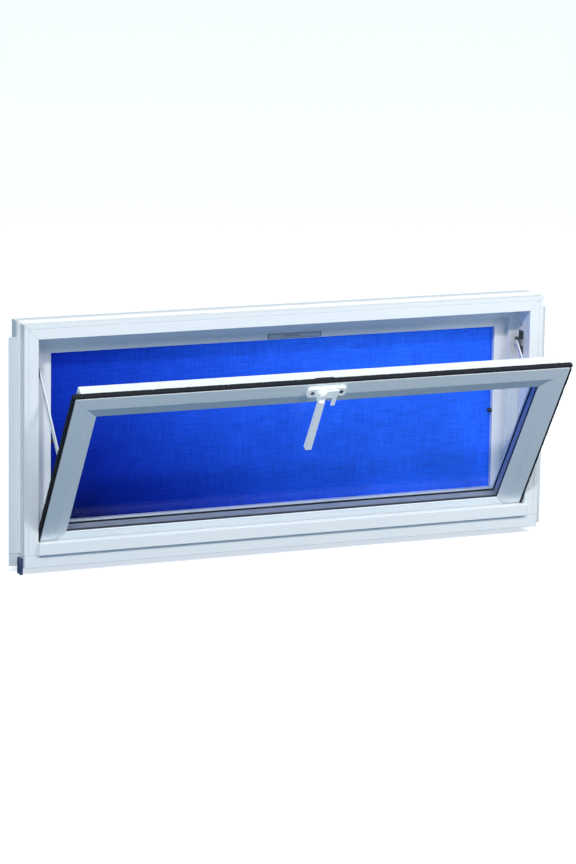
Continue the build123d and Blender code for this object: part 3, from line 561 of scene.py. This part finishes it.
def make_pile():
    """Weather pile round the sash's top and sides, standing out of its channel."""
    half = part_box("sash_pile")[1].x
    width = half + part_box("left_stile")[0].x + PILE_HIDDEN
    ups, outs = ups_of("sash_pile"), outs_of("sash_pile")
    low_up, root_up = min(ups), max(ups) - width
    middle = (max(outs) + min(outs)) / 2
    end = half - PILE_END_IN
    strips = [pile_strip(
        "top_pile", on_sash(-end, root_up, middle), on_sash(end, root_up, middle),
        ALONG, width, 1.0)]
    for side, name in ((-1, "left_pile"), (1, "right_pile")):
        root = side * (half - width)
        strips.append(pile_strip(
            name, on_sash(root, low_up, middle), on_sash(root, root_up, middle),
            Vector((side, 0, 0)), width, 5.0 + side))
    for strip in strips:
        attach(strip, "sash")
    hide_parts("sash_pile")


PAD_HALF = 14.0 * MM
PAD_DEEP = 4.6 * MM
PAD_RISE = 0.9 * MM
PAD_SUNK = 0.3 * MM
PAD_THICK = 0.4 * MM
PAD_BEHIND_PILE = 0.2 * MM
PAD_FUZZ = 0.35 * MM
PAD_CELLS = (28, 6)


def make_notch_pad():
    """Brown-grey felt pad lying on the top rail behind the pile, over the handle."""
    low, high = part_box("handle_base")
    middle = (low.x + high.x) / 2
    top = max(ups_of("sash_top_rail"))
    front = min(outs_of("sash_pile")) - PAD_BEHIND_PILE
    across, along = PAD_CELLS
    verts, faces = [], []
    for k in range(across + 1):
        for p in range(along + 1):
            s, t = 2 * k / across - 1, p / along
            crown = (1 - abs(s) ** 8) * (1 - abs(2 * t - 1) ** 4)
            fuzz = noise.noise(Vector((k * 0.9, p * 1.1, 9.0))) * PAD_FUZZ
            swell = (PAD_RISE + PAD_SUNK) * max(crown, 0.0) ** 0.5
            height = top - PAD_SUNK + swell + fuzz * crown
            verts.append(on_sash(middle + s * PAD_HALF, height, front - PAD_DEEP * t))
    row = along + 1
    for k in range(across):
        for p in range(along):
            a = k * row + p
            faces.append((a, a + 1, a + row + 1, a + row))
    pad = mesh_piece("notch_pad", verts, faces, felt_pad())
    thick = pad.modifiers.new("felt_body", "SOLIDIFY")
    thick.thickness = PAD_THICK
    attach(pad, "sash")


CLOTH_CELL = 6.0 * MM
CLOTH_WAVE = 0.5 * MM


def make_cloth():
    """Insect cloth drawn tight in the screen's frame, with the faint waves it keeps."""
    low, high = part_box("screen_cloth")
    wide, tall = high.x - low.x, high.z - low.z
    across, up = int(wide / CLOTH_CELL), int(tall / CLOTH_CELL)
    verts = []
    for y in (low.y, high.y):
        for j in range(up + 1):
            for i in range(across + 1):
                s, t = i / across, j / up
                hold = 16 * s * (1 - s) * t * (1 - t)
                wave = noise.noise(Vector((s * 5.0, t * 3.0, 2.0))) * CLOTH_WAVE
                verts.append(Vector((low.x + wide * s, y + wave * hold, low.z + tall * t)))
    row = across + 1
    sheet_size = row * (up + 1)
    faces = []
    for j in range(up):
        for i in range(across):
            a = j * row + i
            faces.append((a, a + 1, a + row + 1, a + row))
            b = a + sheet_size
            faces.append((b, b + row, b + row + 1, b + 1))
    edge = list(range(row))
    edge += [j * row + across for j in range(1, up + 1)]
    edge += [up * row + i for i in range(across - 1, -1, -1)]
    edge += [j * row for j in range(up - 1, 0, -1)]
    for k, a in enumerate(edge):
        b = edge[(k + 1) % len(edge)]
        faces.append((b, a, a + sheet_size, b + sheet_size))
    cloth = mesh_piece("insect_cloth", verts, faces, FINISHES["screen_cloth"])
    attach(cloth, "frame")
    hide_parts("screen_cloth")


# ---- room ----
FLOOR_HALF = 30.0
FLOOR_GAP = 0.5 * MM


def make_floor():
    mesh = bpy.data.meshes.new("floor")
    drop = CAD_BOX[0][2] - FLOOR_GAP
    corners = [(-FLOOR_HALF, -FLOOR_HALF, drop), (FLOOR_HALF, -FLOOR_HALF, drop),
               (FLOOR_HALF, FLOOR_HALF, drop), (-FLOOR_HALF, FLOOR_HALF, drop)]
    mesh.from_pydata(corners, [], [(0, 1, 2, 3)])
    floor = bpy.data.objects.new("floor", mesh)
    bpy.context.scene.collection.objects.link(floor)
    f = Finish("pale_floor")
    cloud = f.grain(f.place(), 1.2, 2.0)
    wear(floor, f.surface(f.principled(
        Base_Color=f.tint(cloud, (0.92, 0.93, 0.94), (0.90, 0.91, 0.925)), Roughness=0.8,
        Emission_Color=(0.96, 0.98, 1.0, 1.0), Emission_Strength=0.62)))
    floor.visible_diffuse = False
    floor.visible_glossy = False


SKY = 1.0


def make_sky():
    """Cool, even room light that is dimmer from below; the backdrop itself is white."""
    world = bpy.data.worlds.new("room")
    bpy.context.scene.world = world
    world.use_nodes = True
    f = Finish("room", world.node_tree)
    _, _, z = f.split(f.node("ShaderNodeTexCoord").out("Generated"))
    rise = z * 0.5 + 0.5
    room = f.node("ShaderNodeValToRGB", {"stops": [
        (0.0, (0.02, 0.07, 0.15)), (0.40, (0.035, 0.10, 0.19)), (0.55, (0.22, 0.30, 0.37)),
        (1.0, (0.44, 0.52, 0.57))]}, {0: rise})
    seen = f.node("ShaderNodeLightPath").out("Is Camera Ray")
    colour = f.tint(seen, room, (1.0, 1.0, 1.0))
    light = f.node("ShaderNodeBackground", sockets={"Color": colour, "Strength": SKY})
    f.node("ShaderNodeOutputWorld", sockets={"Surface": light})


def lamp(name, place, target, size, power, colour):
    light = bpy.data.lights.new(name, "AREA")
    light.shape = "DISK"
    light.size = size
    light.energy = power
    light.color = colour
    obj = bpy.data.objects.new(name, light)
    bpy.context.scene.collection.objects.link(obj)
    obj.location = place
    obj.rotation_euler = (Vector(target) - Vector(place)).to_track_quat("-Z", "Y").to_euler()


MIDDLE = Vector((0.0, 0.0, 0.18))


def make_lights():
    lamp("key", (-1.6, -2.5, 2.6), MIDDLE, 0.25, 62.0, (1.0, 0.995, 0.965))
    lamp("right_key", (1.25, -1.8, 1.5), Vector((0.5, 0, 0.15)), 0.8, 27.0, (1.0, 1.0, 0.97))
    lamp("low_fill", (-1.5, -1.8, 0.1), MIDDLE, 0.8, 7.5, (0.50, 0.78, 1.0))
    lamp("low_right", (1.3, -1.2, 0.05), Vector((0.4, 0, 0.3)), 0.5, 3.2, (0.86, 0.97, 1.0))
    lamp("top", (0.2, 0.6, 3.2), MIDDLE, 1.4, 0.4, (0.94, 0.98, 1.0))


CAMERA_PLACE = (-1.9168, -4.5848, 1.2269)
CAMERA_TURN = 0.39765
CAMERA_DIP = -0.21047
CAMERA_ROLL = 0.01656
LENS = 145.83


def make_camera():
    data = bpy.data.cameras.new("camera")
    data.sensor_width = 36.0
    data.lens = LENS
    data.clip_end = 200.0
    camera = bpy.data.objects.new("camera", data)
    bpy.context.scene.collection.objects.link(camera)
    ahead = Vector((math.sin(CAMERA_TURN) * math.cos(CAMERA_DIP),
                    math.cos(CAMERA_TURN) * math.cos(CAMERA_DIP), math.sin(CAMERA_DIP)))
    right = Vector((math.cos(CAMERA_TURN), -math.sin(CAMERA_TURN), 0))
    up = right.cross(ahead)
    turned_right = right * math.cos(CAMERA_ROLL) + up * math.sin(CAMERA_ROLL)
    turned_up = up * math.cos(CAMERA_ROLL) - right * math.sin(CAMERA_ROLL)
    axes = Matrix((turned_right, turned_up, -ahead)).transposed().to_4x4()
    camera.matrix_world = Matrix.Translation(CAMERA_PLACE) @ axes
    bpy.context.scene.camera = camera


finish_cad_nodes()
make_pile()
make_notch_pad()
make_cloth()
make_floor()
make_sky()
make_lights()
make_camera()
bpy.context.scene.view_settings.view_transform = "Standard"
